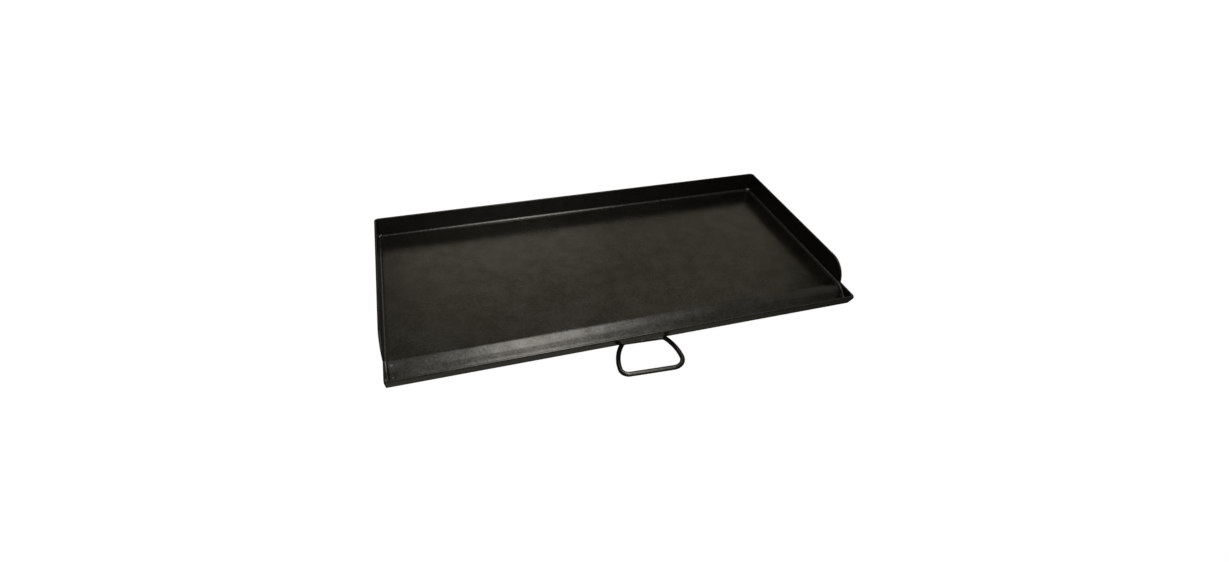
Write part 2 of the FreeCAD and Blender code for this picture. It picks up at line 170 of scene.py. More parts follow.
# Steel. Burnt-on oil colours its sheen a little.
OIL_TINT = (1.0, 0.94, 0.76, 1.0)
BARE_TINT = (1.0, 0.97, 0.92, 1.0)
WEAR_AND_GLINT_GREY = 0.06                        # grey of worn edges, also the colour of the painted glints
WEAR_AND_GLINT_WARMTH = 0.04
FINE_SIZE = 9.0 * MM                     # sizes of the three small patterns, and how far each stands proud
PORE_SIZE = 3.4 * MM
TOOTH_SIZE = 1.6 * MM
FINE_RELIEF = 0.030 * MM
PORE_RELIEF = 0.022 * MM
TOOTH_RELIEF = 0.012 * MM
STAIN_SCALE = 1.7                        # of a stain over the mottle's patches
FILM_SCALE = 0.4                         # of the oil film's patches over the mottle's
FILM_SHARE = 0.45                        # of the film in the sheen's pattern; pores give the rest
MOTTLE_SHARE = 0.6                       # of the mottle in the gloss's pattern; pores give the rest
STAINED = 0.8                            # how far the strongest stain covers
TOOTH_SHOWS = 0.35
WEAR_FLOOR = 0.15                        # wear where it is least, as a share of the most
# From which level of its noise a pattern starts to show, and where it shows fully.
MOTTLE_BAND = (0.35, 0.65)
STAIN_BAND = (0.50, 0.72)
TOOTH_BAND = (0.45, 0.75)
WEAR_BAND = (0.35, 0.65)
GLOSS_BAND = (0.38, 0.62)
FILM_BAND = (0.40, 0.60)
TINT_BAND = (0.38, 0.62)
EDGE_BAND = (0.985, 0.90)                # the same for an edge: cosine between its true and rounded normals
EDGE_SAMPLES = 6
STEEL_IOR = 1.5
BROWNING = 1.6                           # how much more warmth takes from the blue than it adds to the red
SEAM_HIGHLIGHT_X = -0.12                         # middle of the painted highlight on the back seam
SEAM_HIGHLIGHT_REACH = 0.22
LEFT_SEAM_HIGHLIGHT = 0.55                       # painted highlight on the left seam, as a share of the back seam's


# ---------------------------------------------------------------- mesh helpers

def finish_piece(name, mesh, material, node, smooth=SHEET_SHARP):
    """Cleans a mesh and makes it a piece that stands for a CAD node."""
    bm = bmesh.new()
    bm.from_mesh(mesh)
    bmesh.ops.remove_doubles(bm, verts=bm.verts, dist=MERGE)
    bmesh.ops.recalc_face_normals(bm, faces=bm.faces)
    bm.to_mesh(mesh)
    bm.free()
    mesh.shade_smooth()
    mesh.set_sharp_from_angle(angle=math.radians(smooth))
    mesh.materials.clear()
    mesh.materials.append(material)
    piece = bpy.data.objects.new(name, mesh)
    bpy.context.scene.collection.objects.link(piece)
    weighted = piece.modifiers.new("weighted_normals", "WEIGHTED_NORMAL")
    weighted.keep_sharp = True
    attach(piece, "root")
    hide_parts(node)
    return piece


def mesh_of(name, parts):
    """One mesh from several (verts, faces) parts."""
    verts = []
    faces = []
    for part_verts, part_faces in parts:
        base = len(verts)
        verts += [tuple(v) for v in part_verts]
        faces += [tuple(base + i for i in face) for face in part_faces]
    mesh = bpy.data.meshes.new(name)
    mesh.from_pydata(verts, [], faces)
    return mesh


def loft(sections, closed=False):
    """Verts and faces of ring sections joined one to the next, capped unless they close on themselves."""
    count = len(sections[0])
    verts = [point for section in sections for point in section]
    faces = []
    for i in range(len(sections) if closed else len(sections) - 1):
        a = i * count
        b = (i + 1) % len(sections) * count
        faces += [(a + j, a + (j + 1) % count, b + (j + 1) % count, b + j) for j in range(count)]
    if not closed:
        last = (len(sections) - 1) * count
        faces.append(tuple(range(count)))
        faces.append(tuple(last + j for j in range(count)))
    return verts, faces


def steps(first, last, size):
    """Evenly spaced values from first to last, no more than size apart."""
    count = max(1, math.ceil(abs(last - first) / size - STEP_SLACK))
    return [first + (last - first) * i / count for i in range(count + 1)]


def smoothstep(value):
    value = min(1.0, max(0.0, value))
    return value * value * (3.0 - 2.0 * value)


def row_point(across, point):
    """A place from its x and its (y, z) in a section."""
    return Vector((across, point.x, point.y))


# ---------------------------------------------------------------- bent sheet, in a plane

def run_stations(start, end, run_step):
    along = (end - start).normalized()
    normal = Vector((along.y, -along.x))
    return [(start + along * d, normal) for d in steps(0.0, (end - start).length, run_step)]


def bent_line(corners, radii, run_step):
    """Stations (point, right-hand normal) along a line whose inner corners are rounded."""
    stations = []
    start = corners[0]
    for i, radius in enumerate(radii):
        corner = corners[i + 1]
        ahead = (corner - corners[i]).normalized()
        after = (corners[i + 2] - corner).normalized()
        turn = math.atan2(ahead.cross(after), ahead.dot(after))
        side = math.copysign(radius, turn)
        first = corner - ahead * (radius * math.tan(abs(turn) / 2.0))
        stations += run_stations(start, first, run_step)[1 if stations else 0:]
        normal = stations[-1][1]
        hub = first - normal * side
        for angle in steps(0.0, turn, min(ARC_TURN, ARC_CHORD / radius))[1:]:
            turned = Matrix.Rotation(angle, 2) @ normal
            stations.append((hub + turned * side, turned))
        start = stations[-1][0]
    return stations + run_stations(start, corners[-1], run_step)[1:]


def rounded_end(station, thickness):
    """Half-round edge of a sheet at its last station, from the normal's side to the other."""
    point, normal = station
    along = Vector((-normal.y, normal.x))
    middle = point - normal * (thickness / 2.0)
    angles = [math.pi * i / EDGE_POINTS for i in range(1, EDGE_POINTS)]
    return [middle + (normal * math.cos(a) + along * math.sin(a)) * (thickness / 2.0) for a in angles]


# ---------------------------------------------------------------- cooking plate

PLATE_LOW, PLATE_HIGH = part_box("cooking_plate")
LOOP_LOW, LOOP_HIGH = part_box("can_holder_loop")
TOP_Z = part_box("right_seam_weld")[0].z
HALF = PLATE_HIGH.x
BACK_Y = PLATE_HIGH.y
BEND_START_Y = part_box("right_trough_weld")[1].y
DATUM = Vector((0.0, BACK_Y, TOP_Z))

# Painted glints, each a centre and a radius, coloured like bare steel: two by the trough's left end, one in
# the right rear corner.
TROUGH_LEFT = Vector((-HALF, BEND_START_Y, TOP_Z))
RIGHT_REAR = Vector((HALF, BACK_Y, TOP_Z))
PLATE_PAINTED_GLINTS = ((TROUGH_LEFT + Vector((8.3, -10.6, -1.9)) * MM, 2.8 * MM),
                (TROUGH_LEFT + Vector((8.4, -26.5, -12.8)) * MM, 2.2 * MM))
CORNER_PAINTED_GLINTS = ((RIGHT_REAR + Vector((-3.0, -3.0, 3.0)) * MM, 4.0 * MM),)


def plate_corners():
    """Corners (y, z) of the plate's upper side: back, bend, the slope's faint knee, valley and lip top."""
    bend = Vector((BEND_START_Y - FRONT_BEND_R * math.tan(SLOPE / 2.0), TOP_Z))
    half = (math.pi / 2.0 + LIP_LEAN - SLOPE) / 2.0
    hub_z = PLATE_LOW.z + SHEET + VALLEY_R
    valley_z = hub_z - VALLEY_R * math.sin(SLOPE + half) / math.sin(half)
    valley = Vector((bend.x - (bend.y - valley_z) / math.tan(SLOPE), valley_z))
    lip_z = PLATE_HIGH.z - SHEET / 2.0 * (1.0 - math.sin(LIP_LEAN))
    lip_up = Vector((-math.sin(LIP_LEAN), math.cos(LIP_LEAN)))
    lip = valley + lip_up * ((lip_z - valley_z) / lip_up.y)
    fall = valley - bend
    sink = Vector((-fall.y, fall.x)).normalized() * KNEE_SINK
    return [Vector((BACK_Y, TOP_Z)), bend, bend + fall * KNEE_AT + sink, valley, lip]


def wave(x, y):
    """Height of the flat over true at a place."""
    fade = smoothstep((HALF - abs(x)) / WAVE_FADE) * smoothstep((BACK_Y - y) / WAVE_FADE)
    fade *= smoothstep((y - BEND_START_Y) / WAVE_FADE)
    return PLATE_WAVE * fade * noise.noise(Vector((x, y, 0.0)) / PLATE_WAVE_PITCH)


def rear_limit(x):
    """How far back the plate reaches at x, inside the wall's rounded rear corners."""
    past = max(0.0, abs(x) - (HALF - WALL_INNER_R))
    return BACK_Y - WALL_INNER_R + math.sqrt(max(0.0, WALL_INNER_R ** 2 - past ** 2))


def plate_section(x, stations):
    limit = rear_limit(x)
    upper = []
    lower = []
    for point, normal in stations:
        y = min(point.x, limit)
        lift = wave(x, y)
        under = point - normal * SHEET
        upper.append((x, y, point.y + lift))
        lower.append((x, min(under.x, limit), under.y + lift))
    tip = [row_point(x, p) for p in rounded_end(stations[-1], SHEET)]
    return upper + tip + lower[::-1]


def plate_places():
    """Where the plate's sections stand along x, closer together in its rounded rear corners."""
    inner = HALF - WALL_INNER_R
    turns = [math.pi / 2.0 * i / CORNER_SECTIONS for i in range(1, CORNER_SECTIONS + 1)]
    right = [inner + WALL_INNER_R * math.sin(a) for a in turns]
    return [-x for x in right[::-1]] + steps(-inner, inner, PLATE_STEP) + right


def without_drain(mesh):
    """The plate's mesh with the drain hole cut through the trough's bottom."""
    hub_y = plate_corners()[3].x
    angles = [2.0 * math.pi * i / DRAIN_TURNS for i in range(DRAIN_TURNS)]
    rings = []
    for z in (0.0, TOP_Z):
        rings.append([(DRAIN_X + DRAIN_R * math.cos(a), hub_y + DRAIN_R * math.sin(a), z) for a in angles])
    cutter = bpy.data.objects.new("drain_cutter", mesh_of("drain_cutter", [loft(rings)]))
    blank = bpy.data.objects.new("plate_blank", mesh)
    for thing in (cutter, blank):
        bpy.context.scene.collection.objects.link(thing)
    cut = blank.modifiers.new("drain", "BOOLEAN")
    cut.operation = "DIFFERENCE"
    cut.solver = "EXACT"
    cut.object = cutter
    depsgraph = bpy.context.evaluated_depsgraph_get()
    result = bpy.data.meshes.new_from_object(blank.evaluated_get(depsgraph))
    for thing in (cutter, blank):
        bpy.data.objects.remove(thing)
    return result


def cooking_plate(material):
    stations = bent_line(plate_corners(), [FRONT_BEND_R, KNEE_R, VALLEY_R], PLATE_RUN)
    sections = [plate_section(x, stations) for x in plate_places()]
    mesh = without_drain(mesh_of("cooking_surface", [loft(sections)]))
    return finish_piece("cooking_surface", mesh, material, "cooking_plate")


# ---------------------------------------------------------------- wall

def merged_copy(node):
    """A copy of a CAD node's mesh with its triangles merged into flat faces."""
    bm = bmesh.new()
    bm.from_mesh(NODES[node].data)
    bmesh.ops.remove_doubles(bm, verts=bm.verts, dist=CAD_MERGE)
    bmesh.ops.dissolve_limit(bm, angle_limit=FLAT_WITHIN, verts=bm.verts, edges=bm.edges)
    mesh = bpy.data.meshes.new(node)
    bm.to_mesh(mesh)
    bm.free()
    return mesh


def wall(material):
    mesh = merged_copy("wall_band")
    soften(mesh, EDGE_R, 3)
    return finish_piece("wall", mesh, material, "wall_band")


# ---------------------------------------------------------------- weld beads

def bead_ring(corner, up, out, leg, s, seed):
    """Section of a rippled fillet bead at arc length s: up and out run along the two sheets."""
    face = (up + out).normalized()
    wobble = noise.noise(Vector((s / WOBBLE_PITCH, seed, 0.0)))
    leg = leg * (1.0 + WOBBLE_SIZE * wobble)
    scale = leg / BEAD_LEG
    ring = [corner - (up + out) * TOE_SINK]
    for i in range(BEAD_ACROSS + 1):
        t = 2.0 * i / BEAD_ACROSS - 1.0
        bow = 1.0 - t * t
        phase = (s - RIPPLE_LAG * bow + WOBBLE_SHIFT * wobble) / RIPPLE_PITCH
        fade = RIPPLE_AT_TOES + (1.0 - RIPPLE_AT_TOES) * bow
        ripple = abs(math.sin(math.pi * phase)) * RIPPLE_HEIGHT * fade
        base = corner + (up * (1.0 - t) + out * (1.0 + t)) * (leg / 2.0)
        ring.append(base + face * ((BEAD_CROWN * bow + ripple) * scale - (1.0 - bow) * TOE_SINK))
    return ring


def bead(path, seed, leg=BEAD_LEG, taper=0.0):
    """Lofts a bead along stations (corner, up, out). With a taper its ends die away over that length."""
    lengths = [0.0]
    for a, b in zip(path, path[1:]):
        lengths.append(lengths[-1] + (b[0] - a[0]).length)
    total = lengths[-1]
    rings = []
    for (corner, up, out), s in zip(path, lengths):
        size = leg
        if taper:
            edge = min(1.0, (min(s, total - s) + BLUNT * taper) / taper)
            size = leg * math.sqrt(1.0 - (1.0 - edge) ** 2)
        rings.append(bead_ring(corner, up, out, size, s, seed))
    return loft(rings)


def straight(start, end, up, out):
    """Bead stations along a straight corner."""
    span = end - start
    return [(start + span * f, up, out) for f in steps(0.0, 1.0, BEAD_STEP / span.length)]


X = Vector((1.0, 0.0, 0.0))
Y = Vector((0.0, 1.0, 0.0))
Z = Vector((0.0, 0.0, 1.0))


def back_seam(material):
    end = HALF - WALL_INNER_R
    path = straight(Vector((-end, BACK_Y, TOP_Z)), Vector((end, BACK_Y, TOP_Z)), Z, -Y)
    mesh = mesh_of("back_seam", [bead(path, BEAD_SEEDS["back"])])
    return finish_piece("back_seam_bead", mesh, material, "back_seam_weld", ROUND_SHARP)


def side_seam(side, name, material):
    path = straight(Vector((side * HALF, BEND_START_Y, TOP_Z)),
                    Vector((side * HALF, BACK_Y - WALL_INNER_R, TOP_Z)), Z, X * -side)
    mesh = mesh_of(name, [bead(path, BEAD_SEEDS["side"] + side)])
    return finish_piece(name + "_seam_bead", mesh, material, name + "_seam_weld", ROUND_SHARP)


def rear_corner_path(side):
    """Stations round a rear corner, with a short run along each wall."""
    hub = Vector((side * (HALF - WALL_INNER_R), BACK_Y - WALL_INNER_R, TOP_Z))
    path = []
    for d in steps(-CORNER_OVERLAP, 0.0, BEAD_STEP)[:-1]:
        path.append((hub + X * (side * WALL_INNER_R) + Y * d, Z, X * -side))
    for angle in steps(0.0, math.pi / 2.0, BEAD_STEP / WALL_INNER_R):
        away = X * (side * math.cos(angle)) + Y * math.sin(angle)
        path.append((hub + away * WALL_INNER_R, Z, -away))
    for d in steps(0.0, CORNER_OVERLAP, BEAD_STEP)[1:]:
        path.append((hub + Y * WALL_INNER_R - X * (side * d), Z, -Y))
    return path


def rear_corner(side, name, material):
    seed = BEAD_SEEDS["corner"] + side
    lump = bead(rear_corner_path(side), seed, BEAD_LEG * CORNER_SWELL, taper=CORNER_TAPER)
    mesh = mesh_of(name, [lump])
    return finish_piece("rear_" + name + "_corner_bead", mesh, material, "rear_" + name + "_corner_weld",
                        ROUND_SHARP)


def trough_paths(side):
    """Bead stations down the bend and the slope, and then up the lip."""
    corners = plate_corners()
    down = bent_line(corners[:4], [FRONT_BEND_R, KNEE_R], BEAD_STEP)
    down = [(p, n) for p, n in down if p.x <= BEND_START_Y]
    lip = run_stations(corners[3], corners[4], BEAD_STEP)
    inward = X * -side
    paths = []
    for stations in (down, lip):
        paths.append([(row_point(side * HALF, p), row_point(0.0, n), inward) for p, n in stations])
    return paths


def trough_end(side, name, material):
    down, lip = trough_paths(side)
    parts = [bead(down, BEAD_SEEDS["slope"] + side), bead(lip, BEAD_SEEDS["lip"] + side, taper=STITCH_TAPER)]
    mesh = mesh_of(name, parts)
    return finish_piece(name + "_trough_bead", mesh, material, name + "_trough_weld",
                        ROUND_SHARP)


# ---------------------------------------------------------------- stitch and can-holder welds

def island_boxes(node):
    """Boxes of the separate solids in a CAD node."""
    bm = bmesh.new()
    bm.from_mesh(NODES[node].data)
    bmesh.ops.remove_doubles(bm, verts=bm.verts, dist=CAD_MERGE)
    left = set(bm.verts)
    boxes = []
    while left:
        found = [left.pop()]
        for vert in found:
            near = {edge.other_vert(vert) for edge in vert.link_edges} & left
            left -= near
            found += near
        low = Vector([min(v.co[k] for v in found) for k in range(3)])
        high = Vector([max(v.co[k] for v in found) for k in range(3)])
        boxes.append((low, high))
    bm.free()
    return sorted(boxes, key=lambda box: tuple(box[0]))


def stitch_path(low, high, owner_low, owner_high):
    """Stations along the corner between the side of the rail or flange and the plate's underside."""
    top = high.z
    if low.y > owner_high.y - EDGE_R:
        return straight(Vector((low.x, low.y, top)), Vector((high.x, low.y, top)), -Z, Y)
    if high.y < owner_low.y + EDGE_R:
        return straight(Vector((low.x, high.y, top)), Vector((high.x, high.y, top)), -Z, -Y)
    if low.x > owner_high.x - EDGE_R:
        return straight(Vector((low.x, low.y, top)), Vector((low.x, high.y, top)), -Z, X)
    return straight(Vector((high.x, low.y, top)), Vector((high.x, high.y, top)), -Z, -X)


def stitch_welds(node, owner, material):
    parts = []
    for i, (low, high) in enumerate(island_boxes(node)):
        path = stitch_path(low, high, *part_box(owner))
        parts.append(bead(path, BEAD_SEEDS["stitch"] + i, high.z - low.z, taper=STITCH_TAPER))
    name = node.replace("_welds", "_stitches")
    return finish_piece(name, mesh_of(name, parts), material, node, ROUND_SHARP)


def holder_weld(node, material):
    """A CAD weld lump remade as a fine, slightly uneven blob."""
    blank = bpy.data.objects.new("weld_blank", NODES[node].data.copy())
    bpy.context.scene.collection.objects.link(blank)
    remesh = blank.modifiers.new("remesh", "REMESH")
    remesh.mode = "VOXEL"
    remesh.voxel_size = LUMP_VOXEL
    depsgraph = bpy.context.evaluated_depsgraph_get()
    mesh = bpy.data.meshes.new_from_object(blank.evaluated_get(depsgraph))
    bpy.data.objects.remove(blank)
    for vert, normal in zip(mesh.vertices, [n.vector.copy() for n in mesh.vertex_normals]):
        vert.co += normal * (LUMP_HEIGHT * noise.noise(vert.co / LUMP_PITCH))
    return finish_piece(node.replace("_weld", "_lump"), mesh, material, node, ROUND_SHARP)


# ---------------------------------------------------------------- can holder

def holder_side(side, front_r):
    """Right (side 1) or left (-1) half of the holder's own plan, from its front corner to its rear one."""
    leg_hub = Vector((LOOP_HALF_WIDTH - LOOP_LEG_R, front_r))
    hub_distance = LOOP_LEG_R - LOOP_REAR_R
    rear_hub_y = LOOP_DEPTH - LOOP_REAR_R
    swing = math.asin((rear_hub_y - front_r) / hub_distance)
    rear_hub = leg_hub + Vector((math.cos(swing), math.sin(swing))) * hub_distance
    arcs = [(Vector((LOOP_HALF_WIDTH - front_r, front_r)), front_r, -math.pi / 2.0, 0.0),
            (leg_hub, LOOP_LEG_R, 0.0, swing),
            (rear_hub, LOOP_REAR_R, swing, math.pi / 2.0)]
    points = []
    for hub, radius, start, end in arcs:
        angles = steps(start, end, min(ARC_TURN, WIRE_CHORD / radius))[1 if points else 0:]
        points += [hub + Vector((math.cos(a), math.sin(a))) * radius for a in angles]
    return [Vector((side * p.x, p.y)) for p in points]


def loop_centreline():
    """The can holder's centreline in plan, turned and in place: a closed D with curved legs."""
    left_r, right_r = LOOP_FRONT_R
    own = spread(holder_side(1.0, right_r) + holder_side(-1.0, left_r)[::-1])
    turned = [Matrix.Rotation(-LOOP_TURN, 2) @ p for p in own]
    low_x = min(p.x for p in turned)
    low_y = min(p.y for p in turned)
    return [Vector((p.x - low_x + LOOP_LOW.x + WIRE_R, p.y - low_y + LOOP_LOW.y + WIRE_R)) for p in turned]


def spread(corners):
    """A closed line with points added along its long runs."""
    points = []
    for a, b in zip(corners, corners[1:] + corners[:1]):
        points += [a + (b - a) * f for f in steps(0.0, 1.0, WIRE_STEP / (b - a).length)[:-1]]
    return points


def can_holder(material):
    z = LOOP_HIGH.z - WIRE_R
    middle = (LOOP_LOW + LOOP_HIGH) / 2.0
    points = []
    for p in loop_centreline():
        sway = abs(noise.noise(Vector((p.x, p.y, WIRE_WAVE_LAYER)) / WIRE_WAVE_PITCH)) * WIRE_WAVE
        inward = Vector((middle.x - p.x, middle.y - p.y, 0.0)).normalized()
        points.append(Vector((p.x, p.y, z)) + inward * sway)
    angles = [2.0 * math.pi * k / WIRE_SIDES for k in range(WIRE_SIDES)]
    rings = []
    for i, point in enumerate(points):
        along = (points[(i + 1) % len(points)] - points[i - 1]).normalized()
        side = along.cross(Z)
        rings.append([point + (side * math.cos(a) + Z * math.sin(a)) * WIRE_R for a in angles])
    mesh = mesh_of("can_holder", [loft(rings, closed=True)])
    return finish_piece("can_holder_wire", mesh, material, "can_holder_loop", ROUND_SHARP)


# ---------------------------------------------------------------- rails and heat spreaders

def soften(mesh, width, segments):
    """Rounds off a mesh's sharp edges."""
    bm = bmesh.new()
    bm.from_mesh(mesh)
    bmesh.ops.recalc_face_normals(bm, faces=bm.faces)
    sharp = [e for e in bm.edges if len(e.link_faces) == 2 and e.calc_face_angle() > BEVEL_FROM]
    bmesh.ops.bevel(bm, geom=sharp, offset=width, offset_type="OFFSET", segments=segments, profile=0.5,
                    affect="EDGES", clamp_overlap=True)
    bm.to_mesh(mesh)
    bm.free()


def angle_outline(width, height):
    """Outline of an angle with its heel at the origin: leg up the first side, foot along the second."""
    corners = [(0.0, height / 2.0), (0.0, height), (ANGLE_T, height), (ANGLE_T, ANGLE_T), (width, ANGLE_T),
               (width, 0.0), (0.0, 0.0), (0.0, height / 2.0)]
    radii = [ANGLE_HEEL_R, ANGLE_TOE_R, ANGLE_ROOT_R, ANGLE_TOE_R, ANGLE_HEEL_R, ANGLE_HEEL_R]
    line = bent_line([Vector(c) for c in corners], radii, ANGLE_RUN)
    return [station[0] for station in line[:-1]]


def rail(node, heel, foot, along, length, material):
    """Angle rail from its heel's end: foot points from the heel to the toe, along runs down the rail."""
    low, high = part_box(node)
    width = abs((high - low).dot(foot))
    outline = angle_outline(width, high.z - low.z)
    sections = []
    for d in steps(0.0, length, RAIL_STEP):
        start = heel + along * d
        sections.append([start + foot * p.x + Z * p.y for p in outline])
    mesh = mesh_of(node, [loft(sections)])
    soften(mesh, EDGE_R, 2)
    return finish_piece(node + "_angle", mesh, material, node)


def rails(material):
    low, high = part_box("front_rail")
    rail("front_rail", low, Y, X, high.x - low.x, material)
    low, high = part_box("rear_rail")
    rail("rear_rail", Vector((low.x, high.y, low.z)), -Y, X, high.x - low.x, material)
    for node in ("left_end_rail", "centre_rail"):
        low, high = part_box(node)
        rail(node, low, X, Y, high.y - low.y, material)
    low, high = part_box("right_end_rail")
    rail("right_end_rail", Vector((high.x, low.y, low.z)), -X, Y, high.y - low.y, material)


def heat_spreader(side, material):
    """Hat-section pan, drawn from its front flange to its rear one, with bent corners."""
    node = side + "_heat_spreader"
    low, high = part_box(node)
    floor_z = low.z + SPREADER_T
    front = [Vector((low.y, high.z)), Vector((low.y + SPREADER_FLANGE, high.z)),
             Vector((low.y + SPREADER_FLANGE + SPREADER_RUN, floor_z))]
    rear = [Vector((low.y + high.y - p.x, p.y)) for p in front[::-1]]
    outer = SPREADER_BEND_R + SPREADER_T
    line = bent_line(front + rear, [outer, SPREADER_BEND_R, SPREADER_BEND_R, outer], ANGLE_RUN)
    outline = [p for p, n in line] + [p + n * SPREADER_T for p, n in line[::-1]]
    sections = [[row_point(x, p) for p in outline] for x in steps(low.x, high.x, SPREADER_STEP)]
    mesh = mesh_of(node, [loft(sections)])
    soften(mesh, SPREADER_EDGE_R, 2)
    return finish_piece(side + "_spreader_pan", mesh, material, node)


# ---------------------------------------------------------------- materials

def new_material(name):
    """A material with an empty tree and a Principled shader. Returns it with the shader node."""
    material = bpy.data.materials.new(name)
    material.use_nodes = True
    tree = material.node_tree
    tree.nodes.clear()
    output = tree.nodes.new("ShaderNodeOutputMaterial")
    shader = tree.nodes.new("ShaderNodeBsdfPrincipled")
    tree.links.new(shader.outputs["BSDF"], output.inputs["Surface"])
    return material, shader


def add(tree, kind, inputs, **settings):
    """A node with its settings, and with each input either linked or given a value."""
    node = tree.nodes.new(kind)
    for name, value in settings.items():
        setattr(node, name, value)
    for key, value in inputs.items():
        if isinstance(value, bpy.types.NodeSocket):
            tree.links.new(value, node.inputs[key])
        else:
            node.inputs[key].default_value = value
    return node


def place(tree, stretch=(1.0, 1.0, 1.0)):
    """Object coordinates, stretched so that a pattern runs long in one direction."""
    source = add(tree, "ShaderNodeTexCoord", {}).outputs["Object"]
    return add(tree, "ShaderNodeMapping", {"Vector": source, "Scale": stretch}).outputs["Vector"]


def cloudy(tree, where, size, detail, rough):
    """Noise whose largest patches are about size metres across."""
    inputs = {"Vector": where, "Scale": 1.0 / size, "Detail": detail, "Roughness": rough}
    return add(tree, "ShaderNodeTexNoise", inputs).outputs["Fac"]


def ranged(tree, value, low, high, to_low, to_high):
    inputs = {"Value": value, "From Min": low, "From Max": high, "To Min": to_low, "To Max": to_high}
    return add(tree, "ShaderNodeMapRange", inputs).outputs["Result"]


def blended(tree, factor, a, b):
    """Colour between a and b."""
    node = add(tree, "ShaderNodeMix", {}, data_type="RGBA")
    for key, value in (("Factor_Float", factor), ("A_Color", a), ("B_Color", b)):
        socket = next(s for s in node.inputs if s.identifier == key)
        if isinstance(value, bpy.types.NodeSocket):
            tree.links.new(value, socket)
        else:
            socket.default_value = value
    return next(s for s in node.outputs if s.identifier == "Result_Color")


def maths(tree, operation, a, b):
    return add(tree, "ShaderNodeMath", {0: a, 1: b}, operation=operation).outputs[0]


def laid_over(tree, share, a, b):
    """A share of one pattern and the rest of another."""
    return maths(tree, "ADD", maths(tree, "MULTIPLY", a, share), maths(tree, "MULTIPLY", b, 1.0 - share))


def worn_edge(tree, radius, patchy):
    """1 on convex edges that are worn, 0 elsewhere."""
    rounded = add(tree, "ShaderNodeBevel", {"Radius": radius}, samples=EDGE_SAMPLES).outputs["Normal"]
    true = add(tree, "ShaderNodeNewGeometry", {}).outputs["Normal"]
    agree = add(tree, "ShaderNodeVectorMath", {0: rounded, 1: true}, operation="DOT_PRODUCT").outputs["Value"]
    edge = ranged(tree, agree, *EDGE_BAND, 0.0, 1.0)
    return maths(tree, "MULTIPLY", edge, patchy)


def painted_seam_highlight(tree, where, height):
    """Painted highlight: extra sheen laid by place on a stretch of the back seam, and less of it along the
    left one.
    """
    across = add(tree, "ShaderNodeSeparateXYZ", {0: where}).outputs["X"]
    away = maths(tree, "ABSOLUTE", maths(tree, "SUBTRACT", across, SEAM_HIGHLIGHT_X), 0.0)
    back = ranged(tree, away, 0.0, SEAM_HIGHLIGHT_REACH, height, 0.0)
    left = ranged(tree, across, BEAD_LEG - HALF, 2.0 * BEAD_LEG - HALF, height * LEFT_SEAM_HIGHLIGHT, 0.0)
    return maths(tree, "MAXIMUM", back, left)


def painted_glint(tree, where, centre, radius):
    """Painted glint: 1 over the inner half of a spot, falling to 0 at its radius."""
    away = add(tree, "ShaderNodeVectorMath", {0: where, 1: centre}, operation="DISTANCE").outputs["Value"]
    return ranged(tree, away, radius / 2.0, radius, 1.0, 0.0)


def bumped(tree, heights):
    """Normal from several (height, distance) patterns laid one over the other."""
    normal = None
    for height, distance in heights:
        inputs = {"Height": height, "Distance": distance, "Strength": 1.0}
        if normal is not None:
            inputs["Normal"] = normal
        normal = add(tree, "ShaderNodeBump", inputs).outputs["Normal"]
    return normal


def grey(value, warmth=0.0):
    """A dark steel colour, leaning to brown with warmth."""
    return (value * (1.0 + warmth), value, value * (1.0 - BROWNING * warmth), 1.0)


def steel(name, dark, light, stain, roughness, grain=(1.0, 1.0, 1.0), patch=70.0 * MM, speck=1.0, wear=0.5,
          edge=1.0 * MM, sheen=(0.44, 0.56), painted_highlight=0.0, painted_glints=()):
    """Oil-blackened or scaled steel: mottled, stained, unevenly glossy, with fine tooth and worn edges;
    optionally painted glints and a painted highlight on the seams.
    """
    material, shader = new_material(name)
    tree = material.node_tree
    where = place(tree)
    streaky = place(tree, grain)
    mottle = cloudy(tree, streaky, patch, detail=7.0, rough=0.6)
    fine = cloudy(tree, where, FINE_SIZE, detail=5.0, rough=0.6)
    tooth = cloudy(tree, where, TOOTH_SIZE, detail=3.0, rough=0.5)
    pores = cloudy(tree, where, PORE_SIZE, detail=4.0, rough=0.65)
    blots = cloudy(tree, where, patch * STAIN_SCALE, detail=5.0, rough=0.55)
    smears = cloudy(tree, where, patch * FILM_SCALE, detail=6.0, rough=0.6)

    colour = blended(tree, ranged(tree, mottle, *MOTTLE_BAND, 0.0, 1.0), dark, light)
    colour = blended(tree, ranged(tree, blots, *STAIN_BAND, 0.0, STAINED), colour, stain)
    colour = blended(tree, ranged(tree, tooth, *TOOTH_BAND, 0.0, TOOTH_SHOWS), colour, light)
    wear_and_glints = worn_edge(tree, edge, ranged(tree, fine, *WEAR_BAND, WEAR_FLOOR * wear, wear))
    # Painted glints: spots given the light grey of worn steel to stand in for glints.
    for centre, radius in painted_glints:
        wear_and_glints = maths(tree, "MAXIMUM", wear_and_glints, painted_glint(tree, where, centre, radius))
    tree.links.new(blended(tree, wear_and_glints, colour, grey(WEAR_AND_GLINT_GREY, WEAR_AND_GLINT_WARMTH)), shader.inputs["Base Color"])

    gloss = ranged(tree, laid_over(tree, MOTTLE_SHARE, mottle, pores), *GLOSS_BAND, *roughness)
    tree.links.new(gloss, shader.inputs["Roughness"])
    heights = [(fine, FINE_RELIEF * speck), (pores, PORE_RELIEF * speck), (tooth, TOOTH_RELIEF * speck)]
    tree.links.new(bumped(tree, heights), shader.inputs["Normal"])

    film = laid_over(tree, FILM_SHARE, smears, pores)
    level = ranged(tree, film, *FILM_BAND, *sheen)
    # Painted highlight: extra sheen added to the seams where they stand, not where light falls.
    if painted_highlight:
        level = maths(tree, "ADD", level, painted_seam_highlight(tree, where, painted_highlight))
    tree.links.new(level, shader.inputs["Specular IOR Level"])
    tint = blended(tree, ranged(tree, film, *TINT_BAND, 0.0, 1.0), OIL_TINT, BARE_TINT)
    tree.links.new(tint, shader.inputs["Specular Tint"])
    shader.inputs["IOR"].default_value = STEEL_IOR
    return material


